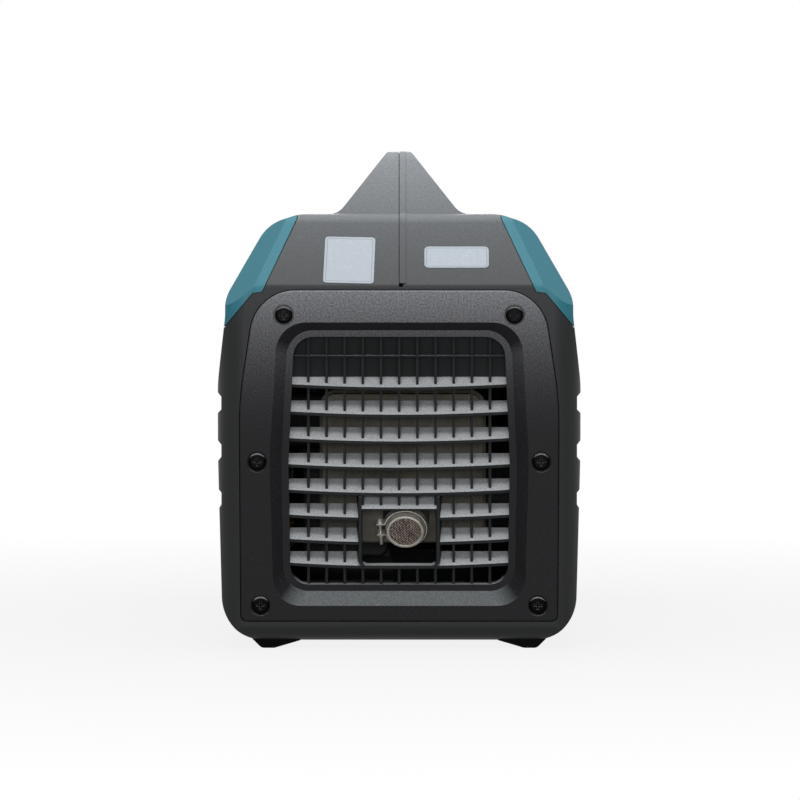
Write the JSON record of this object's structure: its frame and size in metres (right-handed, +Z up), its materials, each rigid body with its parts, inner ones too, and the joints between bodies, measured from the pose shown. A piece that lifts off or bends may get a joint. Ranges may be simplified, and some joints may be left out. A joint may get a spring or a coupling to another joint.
{
  "type": "portable generator",
  "caption": "Closed-case portable inverter generator with an arched carry handle, louvred exhaust end, recoil starter and a control panel with lidded sockets.",
  "frame": {"origin": "on the floor, below the centre of the body's box", "axes": "+Z up, exhaust end at -Y, control end at +Y, starter side at +X"},
  "size_m": [0.31, 0.51, 0.425],
  "materials": {
    "shell_black": "fine-grained moulded black plastic",
    "cover_black": "coarse-grained moulded black plastic",
    "cover_teal": "satin moulded teal plastic",
    "louvre_grey": "grained moulded charcoal plastic",
    "rubber_black": "moulded rubber",
    "screw_black": "gloss black oxide steel",
    "panel_grey": "satin control panel",
    "socket_black": "moulded socket plastic",
    "lid_grey": "smooth flip lid",
    "control_black": "moulded controls",
    "reset_red": "smooth button",
    "lens_clear": "tinted indicator lens",
    "outlet_steel": "heat-dulled stainless steel",
    "muffler_steel": "heat-toned plated steel",
    "tank_steel": "powder-coated steel",
    "engine_alloy": "die-cast aluminium",
    "engine_steel": "machined steel",
    "stator_copper": "varnished copper windings",
    "inner_plastic": "moulded engine plastic",
    "filter_foam": "open-cell foam",
    "dipstick_yellow": "smooth filler cap",
    "rope_black": "braided cord"
  },
  "bodies": {
    "root": {"left_shell": "shell_black", "right_shell": "shell_black", "left_side_cover": "cover_teal", "right_side_cover": "cover_teal", "base_tray": "shell_black", "rubber_feet": "rubber_black", "rear_cover": "cover_black", "rear_louvre": "louvre_grey", "rear_cover_screws": "screw_black", "front_cover": "cover_black", "front_cover_screws": "screw_black", "starter_bezel": "shell_black", "control_panel": "panel_grey", "ac_sockets": "socket_black", "dc_socket": "socket_black", "ground_terminal": "outlet_steel", "indicator_lenses": "lens_clear", "fuel_tank": "tank_steel", "filler_grommet": "rubber_black", "fuel_hose": "rubber_black", "crankcase": "engine_alloy", "cylinder": "engine_alloy", "valve_cover": "engine_alloy", "alternator_stator": "stator_copper", "fan_housing": "inner_plastic", "recoil_housing": "tank_steel", "engine_mounts": "rubber_black", "carburettor": "engine_alloy", "air_cleaner_case": "inner_plastic", "air_filter": "filter_foam", "air_cleaner_lid": "inner_plastic", "ignition_coil": "inner_plastic", "spark_plug": "engine_steel", "plug_boot": "rubber_black", "muffler": "muffler_steel", "outlet_clamp": "outlet_steel", "spark_arrester": "outlet_steel", "inverter_module": "engine_alloy", "starter_rope": "rope_black"},
    "crank": {"crankshaft": "engine_steel", "alternator_rotor": "engine_steel", "cooling_fan": "inner_plastic", "starter_cup": "engine_steel"},
    "piston": {"piston": "engine_alloy"},
    "reel": {"recoil_reel": "inner_plastic"},
    "grip": {"recoil_grip": "control_black"},
    "dial": {"engine_dial": "control_black"},
    "rocker": {"eco_rocker": "control_black"},
    "ac_reset": {"ac_reset_button": "reset_red"},
    "dc_reset": {"dc_reset_button": "reset_red"},
    "lid_a": {"socket_lid_a": "lid_grey"},
    "lid_b": {"socket_lid_b": "lid_grey"},
    "cap_lift": {"fuel_cap_gasket": "rubber_black"},
    "cap": {"fuel_cap": "control_black"},
    "vent": {"cap_vent_lever": "control_black"},
    "plug_lid": {"plug_access_cover": "shell_black"},
    "hatch": {"maintenance_cover": "shell_black"},
    "hatch_screw": {"maintenance_screw": "screw_black"},
    "dipstick": {"oil_dipstick": "dipstick_yellow"}
  },
  "joints": [
    {"name": "crank_spin", "type": "hinge", "parent": "root", "child": "crank", "pos_m": [0, 0.005, 0.112], "axis": [1, 0, 0], "continuous": true},
    {"name": "piston_stroke", "type": "slide", "parent": "root", "child": "piston", "axis": [0, 1, 0], "range_m": [0, 0.043]},
    {"name": "starter_pull", "type": "slide", "parent": "root", "child": "grip", "axis": [1, 0, 0], "range_m": [0, 0.5], "stiffness_N_per_m": 20, "springref_m": -0.2, "deforming": ["starter_rope"]},
    {"name": "reel_spin", "type": "hinge", "parent": "root", "child": "reel", "pos_m": [0.099, 0.005, 0.112], "axis": [1, 0, 0], "range_deg": [0, 787]},
    {"name": "dial_turn", "type": "hinge", "parent": "root", "child": "dial", "pos_m": [0.062, 0.243, 0.23], "axis": [0, 1, 0], "range_deg": [0, 120]},
    {"name": "rocker_tilt", "type": "hinge", "parent": "root", "child": "rocker", "pos_m": [0.062, 0.2415, 0.166], "axis": [1, 0, 0], "range_deg": [-10, 10]},
    {"name": "ac_reset_press", "type": "slide", "parent": "root", "child": "ac_reset", "axis": [0, -1, 0], "range_m": [0, 0.0025], "stiffness_N_per_m": 300, "springref_m": -0.002},
    {"name": "dc_reset_press", "type": "slide", "parent": "root", "child": "dc_reset", "axis": [0, -1, 0], "range_m": [0, 0.0025], "stiffness_N_per_m": 300, "springref_m": -0.002},
    {"name": "lid_a_swing", "type": "hinge", "parent": "root", "child": "lid_a", "pos_m": [0.002, 0.2496, 0.2536], "axis": [1, 0, 0], "range_deg": [0, 105], "stiffness_Nm_per_rad": 0.01, "springref_deg": -11.46},
    {"name": "lid_b_swing", "type": "hinge", "parent": "root", "child": "lid_b", "pos_m": [-0.058, 0.2496, 0.2536], "axis": [1, 0, 0], "range_deg": [0, 105], "stiffness_Nm_per_rad": 0.01, "springref_deg": -11.46},
    {"name": "cap_lift_off", "type": "slide", "parent": "root", "child": "cap_lift", "axis": [0, 0, 1], "range_m": [0, 0.06]},
    {"name": "cap_turn", "type": "hinge", "parent": "cap_lift", "child": "cap", "pos_m": [0.049, 0.07, 0.352], "axis": [0, 0, 1], "range_deg": [0, 120]},
    {"name": "vent_turn", "type": "hinge", "parent": "cap", "child": "vent", "pos_m": [0.049, 0.07, 0.352], "axis": [0, 0, 1], "range_deg": [0, 90]},
    {"name": "plug_lid_lift", "type": "slide", "parent": "root", "child": "plug_lid", "axis": [0, 0, 1], "range_m": [0, 0.05]},
    {"name": "hatch_pull", "type": "slide", "parent": "root", "child": "hatch", "axis": [-1, 0, 0], "range_m": [0, 0.1]},
    {"name": "hatch_screw_turn", "type": "hinge", "parent": "hatch", "child": "hatch_screw", "pos_m": [-0.155, -0.01, 0.214], "axis": [1, 0, 0], "range_deg": [0, 90]},
    {"name": "dipstick_turn", "type": "hinge", "parent": "root", "child": "dipstick", "pos_m": [-0.085, 0.04, 0.08], "axis": [1, 0, 0], "range_deg": [0, 360]}
  ],
  "couplings": [
    {"joint": "reel_spin", "follows": "starter_pull", "rad_per_m": 27.397}
  ]
}
